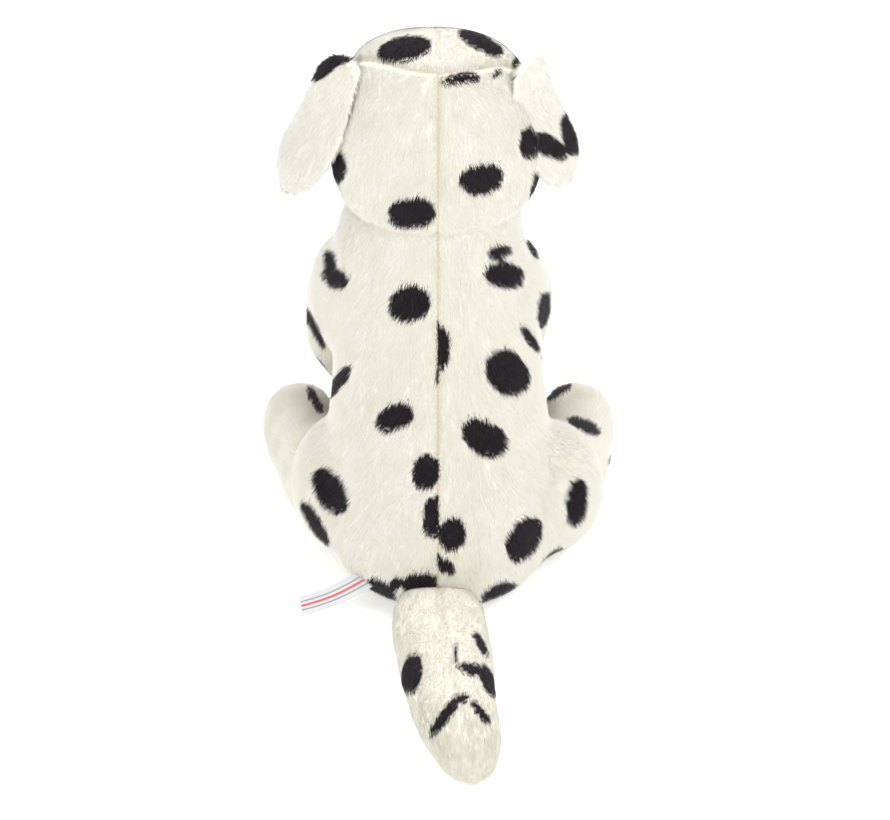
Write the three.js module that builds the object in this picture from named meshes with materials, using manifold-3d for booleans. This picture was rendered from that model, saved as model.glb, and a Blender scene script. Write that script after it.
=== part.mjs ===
// A sitting plush dog, 290 mm tall: sewn fabric panels round fibre filling, with a pellet bag in the seat.
// Frame: mm, +Z up, the dog faces -Y, +X is its left, the floor is z = 0 and x = 0 is the plane of symmetry.
import * as THREE from "three";
import { mergeVertices } from "three/addons/utils/BufferGeometryUtils.js";
import Module from "manifold-3d";

const wasm = await Module();
wasm.setup();

// ---- driving dimensions ----
const CLOTH = 2.6; // thickness of the plush panels with their backing
const GAP = 0.3; // clearance between neighbouring pieces
const FAR = 400; // half size of the cutting blocks
const FLAT = 0.14; // facets that bend less than this are merged
const ROUND = 22; // facets round the torso

// Torso: level z, centre y, half width in x, half depth in y.
const TORSO = [
  [0, 22, 50, 56], [6, 23, 57, 63], [20, 23, 61, 68.5], [45, 20, 62, 70], [80, 10, 59, 60],
  [120, 0, 55, 52], [160, -8, 52, 47], [182, -12, 49.5, 43.5], [192, -13, 46, 42],
];
const HAUNCH = { at: [55, 13, 38], r: [31, 42, 37.5] }; // the thigh, part of the torso's cover on each side
const SEAT_Z = 3; // top of the seat panel
const PELLETS_Z = 34; // top of the pellet bag
const CHEST_Y = -22; // seam between the back panels and the chest panel
const BELLY = { y: -12, z: 64 }; // how far back and how high the chest panel reaches below

const NECK = { at: [0, -12, 196], r: 43, from: 192.5, collar: 212 };
// Skull: level z, centre y, half width, half depth.
const SKULL = [
  [203.5, -13.5, 45.5, 43.5], [211, -15, 49.5, 45.5], [222, -17.5, 54, 48], [236, -19, 57, 49.5],
  [250, -19.5, 56.5, 48.5], [262, -19.5, 53, 45.5], [273, -20, 47.5, 39.5], [282, -20.5, 38.5, 30.5],
  [288, -21, 25, 19], [291, -21.5, 7, 6],
];
const MUZZLE = { at: [0, -74, 230], r: [27, 38, 22] };
const CROWN_Y = -6; // seam from ear to ear
const FOREHEAD_X = 20; // half width of the forehead gusset
const CHIN_Z = 221; // seam between cheeks and chin

// Shoulder and hip balls, on the axes their legs swing about.
const SHOULDER = { at: [44, -34, 132], r: [24, 24, 24], wall: 22 };
const HIP = { at: [68, -12, 29], r: [24, 29, 29], wall: 44, room: 64 };
// Front leg: level z, centre x, centre y, half width, half depth.
const FRONT_LEG = [
  [0, 31, -82, 17, 25], [5, 31, -82, 19, 27.5], [14, 31, -81, 19, 27], [24, 31.5, -77, 18.5, 21],
  [45, 33.5, -71, 17.5, 18], [75, 38.5, -61, 18, 18.5], [95, 42, -51, 19.2, 20], [118, 44, -40, 21.5, 22.5],
  [132, 44, -34, 20, 21],
];
const FRONT_SPLIT_X = 37, SOLE = 3;
// Hind leg: level y, centre x, centre z, half width, half height.
const HIND_LEG = [
  [-76, 74, 24.5, 14, 18], [-72, 74.5, 24.5, 19.5, 22], [-60, 74.5, 24.8, 21.8, 23.6],
  [-45, 74, 25.5, 22, 24.6], [-30, 72.5, 27, 21.6, 26.2], [-14, 69, 28.6, 22, 28.2],
];
const HIND_SPLIT_X = 72, HIND_SOLE_Y = -73;

// Tail: level y, centre x, centre z, half width, half height.
const TAIL_ROOT = { at: [0, 92, 17], r: [22.5, 16.8, 16.8] };
const TAIL = [
  [96, 0, 17, 22.5, 16.6], [115, -1, 18.5, 25.5, 18.3], [145, -3.5, 20.5, 26.2, 20.3],
  [180, -7, 21.5, 25.2, 21.3], [205, -11, 21.5, 23.5, 21], [220, -14, 20, 19.5, 18.5],
  [229, -16.5, 18.5, 14, 14], [234, -18, 17.5, 7, 7.5],
];

// Ear: a curve of centre points from the hinge outwards (x, z), with half width and half thickness.
// The ear is twisted about the vertical, so that its rear edge lies nearer the head.
const EAR = {
  y: -14, hinge: [46.5, 280], twist: (28 * Math.PI) / 180,
  run: [
    [0, 0, 13, 3.2], [6, -5, 15, 3.8], [13, -14, 18.5, 4], [19, -30, 22, 4], [23.5, -48, 24.5, 4],
    [27.5, -62, 24, 4], [31, -73, 19, 3.8], [33, -79, 12, 3], [34, -82.5, 4, 1.5],
  ],
};

const EYE = { at: [24, -62.3, 255], r: 6, aim: [0.33, -0.92, 0.22] };
const NOSE = { at: [0, -110.2, 236], r: [10.5, 6.5, 7.5], aim: [0, -1, 0.12] };
const STEM = { r: 1.6, length: 13 };
const WASHER = { r: 7, depth: 7.5, thick: 2 };
const LABEL = { length: 36, width: 11, thick: 0.8, at: [41, 72, 15.2], drop: 10.4, tilt: 0.35 };

// ---- solids ----
function solid(geometry) {
  const g = geometry.clone();
  g.deleteAttribute("normal");
  g.deleteAttribute("uv");
  const merged = mergeVertices(g, 1e-4);
  const positions = new Float32Array(merged.attributes.position.array);
  const make = (tris) => new wasm.Manifold(
    new wasm.Mesh({ numProp: 3, vertProperties: positions, triVerts: tris }),
  );
  const tris = new Uint32Array(merged.index.array);
  const made = make(tris);
  if (made.volume() > 0) return made;
  for (let i = 0; i < tris.length; i += 3) [tris[i + 1], tris[i + 2]] = [tris[i + 2], tris[i + 1]];
  return make(tris);
}

// A closed skin over a row of rings with equally many points, each end closed by a fan.
function skin(rings) {
  const n = rings[0].length, verts = [], index = [];
  for (const ring of rings) for (const p of ring) verts.push(...p);
  for (let i = 0; i + 1 < rings.length; i++) {
    for (let j = 0; j < n; j++) {
      const a = i * n + j, b = i * n + ((j + 1) % n);
      index.push(a, b, b + n, a, b + n, a + n);
    }
  }
  for (const [start, flip] of [[0, true], [(rings.length - 1) * n, false]]) {
    const ring = rings[start / n];
    const mid = [0, 1, 2].map((k) => ring.reduce((sum, p) => sum + p[k], 0) / n);
    const centre = verts.length / 3;
    verts.push(...mid);
    for (let j = 0; j < n; j++) {
      const a = start + j, b = start + ((j + 1) % n);
      index.push(...(flip ? [centre, b, a] : [centre, a, b]));
    }
  }
  const g = new THREE.BufferGeometry();
  g.setAttribute("position", new THREE.Float32BufferAttribute(verts, 3));
  g.setIndex(index);
  return solid(g);
}

// Stations stacked along z (axis 2) or y (axis 1); inset shrinks the whole stack by t on every side.
function inset(stations, t) {
  if (t === 0) return stations;
  const first = stations[0][0] + t, last = stations.at(-1)[0] - t;
  return stations
    .map((s, i) => {
      const out = [...s];
      if (i === 0) out[0] = first;
      if (i === stations.length - 1) out[0] = last;
      out[out.length - 2] -= t;
      out[out.length - 1] -= t;
      return out;
    })
    .filter((s, i, all) => s.at(-1) > 1 && s.at(-2) > 1 && (i === 0 || i === all.length - 1
      || (s[0] > first + 1 && s[0] < last - 1)));
}

function stack(stations, { axis = 2, segments = 12, t = 0 } = {}) {
  const rings = inset(stations, t).map((s) => {
    const [level, c1, c2, r1, r2] = s.length === 5 ? s : [s[0], 0, s[1], s[2], s[3]];
    return Array.from({ length: segments }, (_, j) => {
      const a = ((j + 0.5) / segments) * Math.PI * 2;
      const u = c1 + r1 * Math.cos(a), v = c2 + r2 * Math.sin(a);
      return axis === 2 ? [u, v, level] : [u, level, v];
    });
  });
  return skin(rings);
}

function ball({ at, r }, grow = 0, across = 16, down = 10) {
  const [rx, ry, rz] = Array.isArray(r) ? r : [r, r, r];
  const g = new THREE.SphereGeometry(1, across, down);
  g.rotateX(Math.PI / 2).scale(rx + grow, ry + grow, rz + grow).translate(...at);
  return solid(g);
}

// A ball whose poles lie on the x axis, so that its silhouette about that axis is round.
function axleBall({ at, r }, grow = 0, segments = 12) {
  const g = new THREE.SphereGeometry(1, segments, 6);
  g.rotateZ(Math.PI / 2).scale(r[0] + grow, r[1] + grow, r[2] + grow).translate(...at);
  return solid(g);
}

function block(x0, x1, y0, y1, z0, z1) {
  const g = new THREE.BoxGeometry(x1 - x0, y1 - y0, z1 - z0);
  g.translate((x0 + x1) / 2, (y0 + y1) / 2, (z0 + z1) / 2);
  return solid(g);
}
const beyond = {
  x: (a) => block(a, FAR, -FAR, FAR, -FAR, FAR),
  y: (a) => block(-FAR, FAR, a, FAR, -FAR, FAR),
  z: (a) => block(-FAR, FAR, -FAR, FAR, a, FAR),
};
const below = {
  x: (a) => block(-FAR, a, -FAR, FAR, -FAR, FAR),
  y: (a) => block(-FAR, FAR, -FAR, a, -FAR, FAR),
  z: (a) => block(-FAR, FAR, -FAR, FAR, -FAR, a),
};

// A prism with an outline in the y-z plane, from x0 to x1.
function sidePrism(outline, x0, x1) {
  const shape = new THREE.Shape(outline.map(([y, z]) => new THREE.Vector2(y, z)));
  const g = new THREE.ExtrudeGeometry(shape, { depth: x1 - x0, bevelEnabled: false });
  g.applyMatrix4(new THREE.Matrix4().set(0, 0, 1, x0, 1, 0, 0, 0, 0, 1, 0, 0, 0, 0, 0, 1));
  return solid(g);
}

// A short rod, or a ring, whose axis runs from a point along a direction.
function rod(from, direction, start, length, r, hole = 0) {
  const points = hole
    ? [[hole, 0], [r, 0], [r, length], [hole, length], [hole, 0]]
    : [[0, 0], [r, 0], [r, length], [0, length]];
  const g = new THREE.LatheGeometry(points.map(([u, v]) => new THREE.Vector2(u, v)), 10);
  const d = new THREE.Vector3(...direction).normalize();
  g.translate(0, start, 0);
  g.applyQuaternion(new THREE.Quaternion().setFromUnitVectors(new THREE.Vector3(0, 1, 0), d));
  g.translate(...from);
  return solid(g);
}

// The largest body of a cut solid, without the crumbs the cut leaves at a corner.
const largest = (s) => s.decompose().sort((a, b) => b.volume() - a.volume())[0];
const mirrored = (s, side) => (side === "right" ? s.scale([-1, 1, 1]) : s);
const SIDES = ["left", "right"];

// ---- node table ----
const group = new THREE.Group();
const LOOKS = {
  fleece: { color: 0xf2eee2, roughness: 0.95, metalness: 0 },
  filling: { color: 0xfafafa, roughness: 1, metalness: 0 },
  pellet: { color: 0xcfc7b0, roughness: 0.7, metalness: 0 },
  plastic: { color: 0x0c0a0b, roughness: 0.15, metalness: 0 },
  washer: { color: 0xe8e8e8, roughness: 0.5, metalness: 0 },
  thread: { color: 0x161316, roughness: 0.8, metalness: 0 },
  ribbon: { color: 0xf6f6f6, roughness: 0.4, metalness: 0 },
};
function add(name, made, look) {
  const mesh = largest(made).simplify(FLAT).getMesh();
  const g = new THREE.BufferGeometry();
  g.setAttribute("position", new THREE.BufferAttribute(new Float32Array(mesh.vertProperties), 3));
  g.setIndex(new THREE.BufferAttribute(new Uint32Array(mesh.triVerts), 1));
  g.computeVertexNormals();
  const node = new THREE.Mesh(g, new THREE.MeshStandardMaterial(LOOKS[look]));
  node.name = name;
  group.add(node);
}

// ---- torso: three panels, a seat panel, filling over a pellet bag ----
// Everything in front of and below a leg's back line is kept clear for the leg to swing through.
function arc([y, z], r, from, to, steps) {
  return Array.from({ length: steps + 1 }, (_, i) => {
    const a = ((from + ((to - from) * i) / steps) * Math.PI) / 180;
    return [y + r * Math.cos(a), z + r * Math.sin(a)];
  });
}
const CLEAR = 0.6;
const frontSweep = [
  ...arc([SHOULDER.at[1], SHOULDER.at[2]], SHOULDER.r[1] + CLEAR, 90, -24, 6),
  [-29, 95], [-41, 75], [-51, 45], [-53, 24], [-53, -5], [-FAR, -5],
  [-FAR, SHOULDER.at[2] + SHOULDER.r[2] + CLEAR],
];
const pockets = [axleBall(TAIL_ROOT, CLEAR + 1.2)];
for (const side of SIDES) {
  pockets.push(mirrored(sidePrism(frontSweep, SHOULDER.wall - GAP, 90), side));
  pockets.push(mirrored(axleBall(HIP, CLEAR + 1.2), side));
  pockets.push(mirrored(block(HIP.wall - GAP, 120, -FAR, HIP.at[1], -FAR, HIP.room), side));
}
const torsoForm = (t) => SIDES.reduce(
  (body, side) => body.add(mirrored(ball(HAUNCH, -t), side)), stack(TORSO, { segments: ROUND, t }));
const hollowed = (s) => pockets.reduce((rest, p) => rest.subtract(p), s);
const torsoOuter = hollowed(torsoForm(0)).intersect(beyond.z(0));
const torsoInner = torsoForm(CLOTH);
const torsoShell = torsoOuter.subtract(torsoInner).subtract(below.z(SEAT_Z + GAP));
// the chest panel runs back under the belly, between the hind legs
const chestZone = (grow) =>
  below.y(CHEST_Y + grow).add(block(-FAR, FAR, -FAR, BELLY.y + grow, -FAR, BELLY.z + grow));
const torsoBack = torsoShell.subtract(chestZone(GAP / 2));
add("torso_back_left", torsoBack.intersect(beyond.x(GAP / 2)), "fleece");
add("torso_back_right", torsoBack.intersect(below.x(-GAP / 2)), "fleece");
add("torso_chest", torsoShell.intersect(chestZone(-GAP / 2)), "fleece");
add("torso_seat", torsoOuter.intersect(below.z(SEAT_Z)), "fleece");
const torsoCore = hollowed(torsoForm(CLOTH + GAP));
add("pellet_bag", torsoCore.intersect(block(-FAR, FAR, -FAR, FAR, SEAT_Z + GAP, PELLETS_Z)), "pellet");
add("torso_filling", torsoCore.intersect(beyond.z(PELLETS_Z + GAP)), "filling");

// ---- neck: a filled dome on which the head nods, wrapped by a collar of cloth ----
const dome = ball(NECK, 0, 18, 10).intersect(beyond.z(NECK.from));
const domeCore = ball(NECK, -CLOTH, 18, 10).intersect(beyond.z(NECK.from));
const collarBand = block(-FAR, FAR, -FAR, FAR, NECK.from, NECK.collar);
add("neck_collar", dome.subtract(domeCore).intersect(collarBand), "fleece");
add("neck_filling", ball(NECK, -CLOTH - GAP, 18, 10).intersect(beyond.z(NECK.from)), "filling");

// ---- head ----
const domeRoom = ball(NECK, CLEAR + 0.9, 18, 10);
const headForm = (grow) => stack(SKULL, { segments: 16, t: -grow }).add(ball(MUZZLE, grow, 12, 7));
const eyes = SIDES.map((side) => mirrored(ball(EYE, 0, 12, 6)
  .add(rod(EYE.at, EYE.aim.map((v) => -v), 0, STEM.length, STEM.r)), side));
const eyeRoom = SIDES.map((side) => mirrored(ball(EYE, GAP, 12, 6)
  .add(rod(EYE.at, EYE.aim.map((v) => -v), 0, STEM.length + GAP, STEM.r + GAP))
  .add(rod(EYE.at, EYE.aim.map((v) => -v), WASHER.depth - GAP, WASHER.thick + 2 * GAP, WASHER.r + GAP)), side));
const noseBack = NOSE.aim.map((v) => -v);
const nose = ball(NOSE, 0, 12, 6).add(rod(NOSE.at, noseBack, 0, STEM.length, STEM.r));
const noseRoom = ball(NOSE, GAP, 12, 6).add(rod(NOSE.at, noseBack, 0, STEM.length + GAP, STEM.r + GAP))
  .add(rod(NOSE.at, noseBack, WASHER.depth - GAP, WASHER.thick + 2 * GAP, WASHER.r + GAP));

// The mouth: a thread along the front of the muzzle, down from the nose and out to both sides.
function thread(points, r) {
  const path = new THREE.CatmullRomCurve3(points.map((p) => new THREE.Vector3(...p)));
  const disc = new THREE.Shape(Array.from({ length: 6 }, (_, i) => {
    const a = (i / 6) * Math.PI * 2;
    return new THREE.Vector2(r * Math.cos(a), r * Math.sin(a));
  }));
  return solid(new THREE.ExtrudeGeometry(disc, { steps: 10, extrudePath: path }));
}
const onMuzzle = (x, z) => {
  const [rx, ry, rz] = MUZZLE.r, u = x / rx, w = (z - MUZZLE.at[2]) / rz;
  return [x, MUZZLE.at[1] - ry * Math.sqrt(1 - u * u - w * w) + 0.2, z];
};
const mouthLine = [[-14, 225], [-9, 221.2], [-4, 221.5], [0, 224.5], [4, 221.5], [9, 221.2], [14, 225]]
  .map(([x, z]) => onMuzzle(x, z));
const mouth = thread(mouthLine, 0.8);
const mouthRoom = thread(mouthLine, 0.8 + GAP);

const cutForFace = (s) => [...eyeRoom, noseRoom, mouthRoom].reduce((rest, p) => rest.subtract(p), s);
const headShell = cutForFace(headForm(0).subtract(headForm(-CLOTH)).subtract(domeRoom));
const headBack = headShell.intersect(beyond.y(CROWN_Y + GAP / 2));
const headFront = headShell.intersect(below.y(CROWN_Y - GAP / 2));
const faceUpper = headFront.intersect(beyond.z(CHIN_Z + GAP / 2));
add("head_back_left", headBack.intersect(beyond.x(GAP / 2)), "fleece");
add("head_back_right", headBack.intersect(below.x(-GAP / 2)), "fleece");
add("forehead", faceUpper.intersect(block(-FOREHEAD_X, FOREHEAD_X, -FAR, FAR, -FAR, FAR)), "fleece");
for (const side of SIDES) {
  const half = side === "left" ? beyond.x(FOREHEAD_X + GAP) : below.x(-FOREHEAD_X - GAP);
  add("cheek_" + side, faceUpper.intersect(half), "fleece");
}
add("chin", headFront.intersect(below.z(CHIN_Z - GAP / 2)), "fleece");
add("head_filling", cutForFace(headForm(-CLOTH - 1.4 * GAP).subtract(domeRoom)), "filling");
SIDES.forEach((side, i) => {
  add("eye_" + side, eyes[i], "plastic");
  add("eye_washer_" + side, mirrored(
    rod(EYE.at, EYE.aim.map((v) => -v), WASHER.depth, WASHER.thick, WASHER.r, STEM.r + GAP), side), "washer");
});
add("nose", nose, "plastic");
add("nose_washer", rod(NOSE.at, noseBack, WASHER.depth, WASHER.thick, WASHER.r, STEM.r + GAP), "washer");
add("mouth_stitch", mouth, "thread");

// ---- ears: each an outer and an inner panel, back to back ----
function earPanel(side, outer) {
  const run = EAR.run, middle = run.map(([dx, dz]) => [EAR.hinge[0] + dx, EAR.hinge[1] + dz]);
  const wide = [-Math.sin(EAR.twist), Math.cos(EAR.twist), 0];
  const rings = run.map(([, , half, thick], i) => {
    const a = middle[Math.max(0, i - 1)], b = middle[Math.min(run.length - 1, i + 1)];
    const along = new THREE.Vector3(b[0] - a[0], 0, b[1] - a[1]);
    const normal = new THREE.Vector3().crossVectors(along, new THREE.Vector3(...wide)).normalize();
    const flip = outer ? 1 : -1; // the normal points away from the head
    return Array.from({ length: 8 }, (_, j) => {
      // half an ellipse on the panel's own side, closed by a flat back near the middle of the ear
      const turn = (j / 7) * Math.PI, across = half * Math.cos(turn);
      const off = flip * (GAP / 2 + (thick - GAP / 2) * Math.sin(turn));
      return [
        middle[i][0] + wide[0] * across + normal.x * off, EAR.y + wide[1] * across + normal.y * off,
        middle[i][1] + normal.z * off,
      ];
    });
  });
  return mirrored(skin(rings), side);
}
for (const side of SIDES) {
  add(`ear_${side}_outer`, earPanel(side, true), "fleece");
  add(`ear_${side}_inner`, earPanel(side, false), "fleece");
}

// ---- front legs ----
const frontForm = (t) => stack(FRONT_LEG, { t }).add(axleBall(SHOULDER, -t));
for (const side of SIDES) {
  const leg = frontForm(0).intersect(beyond.z(0));
  const trimmed = leg.subtract(block(0, SHOULDER.wall, -FAR, FAR, 85, FAR));
  const shell = trimmed.subtract(frontForm(CLOTH)).intersect(beyond.z(SOLE + GAP));
  add(`front_leg_${side}_outer`, mirrored(shell.intersect(beyond.x(FRONT_SPLIT_X + GAP / 2)), side), "fleece");
  add(`front_leg_${side}_inner`, mirrored(shell.intersect(below.x(FRONT_SPLIT_X - GAP / 2)), side), "fleece");
  add(`front_sole_${side}`, mirrored(trimmed.intersect(below.z(SOLE)), side), "fleece");
  const core = frontForm(CLOTH + GAP).intersect(beyond.z(SOLE + GAP))
    .subtract(block(0, SHOULDER.wall, -FAR, FAR, 85, FAR));
  add(`front_leg_${side}_filling`, mirrored(core, side), "filling");
}

// ---- hind legs ----
const hindForm = (t) => stack(HIND_LEG, { axis: 1, t }).add(axleBall(HIP, -t));
for (const side of SIDES) {
  const leg = hindForm(0).intersect(beyond.z(0)).intersect(beyond.x(HIP.wall));
  const shell = leg.subtract(hindForm(CLOTH)).intersect(beyond.y(HIND_SOLE_Y + GAP));
  add(`hind_leg_${side}_outer`, mirrored(shell.intersect(beyond.x(HIND_SPLIT_X + GAP / 2)), side), "fleece");
  add(`hind_leg_${side}_inner`, mirrored(shell.intersect(below.x(HIND_SPLIT_X - GAP / 2)), side), "fleece");
  add(`hind_sole_${side}`, mirrored(leg.intersect(below.y(HIND_SOLE_Y)), side), "fleece");
  const core = hindForm(CLOTH + GAP).intersect(beyond.x(HIP.wall)).intersect(beyond.y(HIND_SOLE_Y + GAP));
  add(`hind_leg_${side}_filling`, mirrored(core, side), "filling");
}

// ---- tail ----
const tailForm = (t) => stack(TAIL, { axis: 1, t }).add(axleBall(TAIL_ROOT, -t));
const tailOpen = beyond.y(TAIL_ROOT.at[1] - 12); // the cover is open where it is sewn into the seat seam
const tailShell = tailForm(0).subtract(tailForm(CLOTH)).intersect(tailOpen);
// the two halves meet in a plane that follows the bend of the tail
const tailHalf = (side) => {
  const bend = new THREE.BoxGeometry(FAR, FAR, FAR);
  bend.translate(side * (FAR / 2 + GAP / 2), 0, 0);
  bend.rotateZ(0.06).translate(1.2, TAIL_ROOT.at[1], 24);
  return solid(bend);
};
add("tail_left", tailShell.intersect(tailHalf(1)), "fleece");
add("tail_right", tailShell.intersect(tailHalf(-1)), "fleece");
add("tail_filling", tailForm(CLOTH + GAP).intersect(tailOpen), "filling");

// ---- blank woven ribbon, caught in the seat seam beside the tail ----
const ribbon = Array.from({ length: 7 }, (_, i) => {
  const u = i / 6, x = LABEL.at[0] + LABEL.length * u;
  const y = LABEL.at[1] + 2 * u, z = LABEL.at[2] - LABEL.drop * u + 2.5 * Math.sin(Math.PI * u);
  const wide = [Math.cos(LABEL.tilt) * LABEL.width, -Math.sin(LABEL.tilt) * LABEL.width], t = LABEL.thick / 2;
  return [[x, y, z - t], [x, y + wide[0], z + wide[1] - t], [x, y + wide[0], z + wide[1] + t], [x, y, z + t]];
});
add("label_ribbon", skin(ribbon), "ribbon");

export default group;
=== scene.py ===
"""A sitting plush dog in short spotted pile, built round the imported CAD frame."""
import math

import bpy
import numpy as np
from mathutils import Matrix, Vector


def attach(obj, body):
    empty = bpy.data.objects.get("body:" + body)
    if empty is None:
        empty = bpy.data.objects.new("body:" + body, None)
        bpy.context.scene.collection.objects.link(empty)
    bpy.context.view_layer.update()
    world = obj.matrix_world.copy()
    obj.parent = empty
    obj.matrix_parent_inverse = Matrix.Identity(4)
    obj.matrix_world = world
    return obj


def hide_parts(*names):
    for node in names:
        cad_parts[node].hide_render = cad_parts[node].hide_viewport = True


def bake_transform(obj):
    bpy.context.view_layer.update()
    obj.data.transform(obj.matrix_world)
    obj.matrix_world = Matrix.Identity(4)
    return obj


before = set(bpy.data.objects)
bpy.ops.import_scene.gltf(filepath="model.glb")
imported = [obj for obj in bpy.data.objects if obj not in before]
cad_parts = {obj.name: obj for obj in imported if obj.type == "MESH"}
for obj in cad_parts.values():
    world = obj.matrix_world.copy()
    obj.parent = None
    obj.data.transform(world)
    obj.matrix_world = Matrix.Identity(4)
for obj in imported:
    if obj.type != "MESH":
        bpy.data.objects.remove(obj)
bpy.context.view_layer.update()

MM = 0.001
PILE = 2.6  # how far the pile stands off the backing, which lies this much inside the outline, mm
ELEVATION = math.radians(35)  # of the camera, which looks at the dog's back
DISTANCE = 3500  # of the camera from the point it looks at, mm
LOOK_AT = np.array([-3.6, 39, 103])
TOWARDS = np.array([0, math.cos(ELEVATION), math.sin(ELEVATION)])  # from that point to the camera
UP = np.array([0, -math.sin(ELEVATION), math.cos(ELEVATION)])


# ---------------------------------------------------------------- numbers
def noise(p, size, seed=0):
    """Smooth value noise from 0 to 1 at points p, with cells of that size in the points' unit."""
    q = np.asarray(p, float) / size
    cell = np.floor(q).astype(np.int64)
    f = q - cell
    f = f * f * (3 - 2 * f)
    total = np.zeros(len(q))
    for corner in range(8):
        d = np.array([corner & 1, corner >> 1 & 1, corner >> 2 & 1])
        c = cell + d
        h = c[:, 0] * 73856093 ^ c[:, 1] * 19349663 ^ c[:, 2] * 83492791 ^ (seed * 1013904223)
        h = (h ^ (h >> 13)) * 1274126177
        value = ((h ^ (h >> 16)) & 0xFFFF) / 65535.0
        total += value * np.prod(np.where(d, f, 1 - f), axis=1)
    return total


def unit(v):
    return v / np.maximum(np.linalg.norm(v, axis=-1, keepdims=True), 1e-9)


def finer(rows, steps=5):
    """Catmull-Rom rows through the given ones."""
    rows = np.array(rows, float)
    ends = np.vstack([2 * rows[0] - rows[1], rows, 2 * rows[-1] - rows[-2]])
    out = []
    for a, b, c, d in zip(ends, ends[1:], ends[2:], ends[3:]):
        square, cube = 2 * a - 5 * b + 4 * c - d, 3 * b - a - 3 * c + d
        for t in np.arange(steps) / steps:
            out.append(0.5 * (2 * b + (c - a) * t + square * t**2 + cube * t**3))
    return np.array(out + [rows[-1]])


# ---------------------------------------------------------------- forms
def mesh_of(name, verts, faces):
    """An object from points in millimetres."""
    mesh = bpy.data.meshes.new(name)
    points = [tuple(v) for v in np.asarray(verts) * MM]
    mesh.from_pydata(points, [], [tuple(int(i) for i in f) for f in faces])
    mesh.update()
    obj = bpy.data.objects.new(name, mesh)
    bpy.context.scene.collection.objects.link(obj)
    return obj


def closed(rings):
    """Vertices and faces of a closed skin over rings of equally many points."""
    n = len(rings[0])
    verts = np.vstack(rings + [rings[0].mean(0), rings[-1].mean(0)])
    faces = []
    for i in range(len(rings) - 1):
        for j in range(n):
            k = (j + 1) % n
            faces.append((i * n + j, i * n + k, (i + 1) * n + k, (i + 1) * n + j))
    first, last, top = len(verts) - 2, len(verts) - 1, (len(rings) - 1) * n
    for j in range(n):
        k = (j + 1) % n
        faces += [(first, k, j), (last, top + j, top + k)]
    return verts, faces


def stack(rows, axis=2, power=2.0, points=72, pile=PILE):
    """A closed form through ellipses at levels along z (2) or y (1).

    Each row is a level, the ellipse's centre in the other two axes and its radii in them.
    """
    rows = finer(rows)
    angle = np.arange(points) / points * 2 * np.pi
    c, s = np.cos(angle), np.sin(angle)
    c, s = np.sign(c) * np.abs(c) ** (2 / power), np.sign(s) * np.abs(s) ** (2 / power)
    rings = []
    for level, u, v, ru, rv in rows:
        ru, rv = max(ru - pile, 0.6), max(rv - pile, 0.6)
        cols = [u + ru * c, v + rv * s]
        cols.insert(axis, np.full(points, level))
        rings.append(np.stack(cols, axis=1))
    return closed(rings)


def ball(at, r, pile=PILE, points=48):
    """A closed ellipsoid."""
    a = np.linspace(-1, 1, points // 2 + 1)[1:-1] * math.pi / 2
    rows = [[at[2] + (r[2] - pile) * math.sin(t), at[0], at[1],
             (r[0] - pile) * math.cos(t), (r[1] - pile) * math.cos(t)] for t in a]
    angle = np.arange(points) / points * 2 * np.pi
    rings = [np.stack([u + ru * np.cos(angle), v + rv * np.sin(angle), np.full(points, z)], axis=1)
             for z, u, v, ru, rv in rows]
    return closed(rings)


def applied(obj):
    """Turns the object's modifiers into its mesh."""
    bpy.context.view_layer.update()
    mesh = bpy.data.meshes.new_from_object(obj.evaluated_get(bpy.context.evaluated_depsgraph_get()))
    old = obj.data
    obj.modifiers.clear()
    obj.data = mesh
    bpy.data.meshes.remove(old)
    return obj


def points_of(mesh):
    co = np.empty(len(mesh.vertices) * 3, np.float32)
    mesh.vertices.foreach_get("co", co)
    return co.reshape(-1, 3).astype(float) / MM


def put_points(mesh, p):
    mesh.vertices.foreach_set("co", (np.asarray(p) * MM).astype(np.float32).ravel())
    mesh.update()


def normals_of(mesh):
    n = np.empty(len(mesh.vertices) * 3, np.float32)
    mesh.vertices.foreach_get("normal", n)
    return n.reshape(-1, 3).astype(float)


def fused(name, forms, voxel=2.6, smooth=10):
    """One smooth closed skin round several closed forms."""
    verts, faces = [], []
    for v, f in forms:
        start = sum(len(x) for x in verts)
        verts.append(v)
        faces += [tuple(start + i for i in face) for face in f]
    obj = mesh_of(name, np.vstack(verts), faces)
    remesh = obj.modifiers.new("remesh", "REMESH")
    remesh.mode, remesh.voxel_size = "VOXEL", voxel * MM
    soften = obj.modifiers.new("soften", "SMOOTH")
    soften.factor, soften.iterations = 0.5, smooth
    return applied(obj)


def mirrored(form, side):
    verts, faces = form
    return (verts * [side, 1, 1], faces if side > 0 else [f[::-1] for f in faces])


# ---------------------------------------------------------------- shapes, in mm
TORSO = [  # z, centre x, centre y, half width, half depth
    [0.5, -2, 20, 35, 40], [2.5, -2.5, 21, 46.5, 53], [9, -2, 22, 57.5, 64], [22, -1, 22.5, 62.5, 68.5],
    [45, 0, 20, 62, 70], [80, 0, 10, 59, 60], [105, 0, 3.5, 56.5, 54.5], [130, 1, -2, 56, 50.5],
    [155, 3, -7, 54.5, 47.5], [176, 4.5, -11, 51.5, 44], [192, 3, -13, 48, 42.5],
    [203, 1, -14, 45.5, 41.5], [214, 0, -14.5, 42, 39], [222, 0, -14.5, 28, 26],
]
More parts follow.
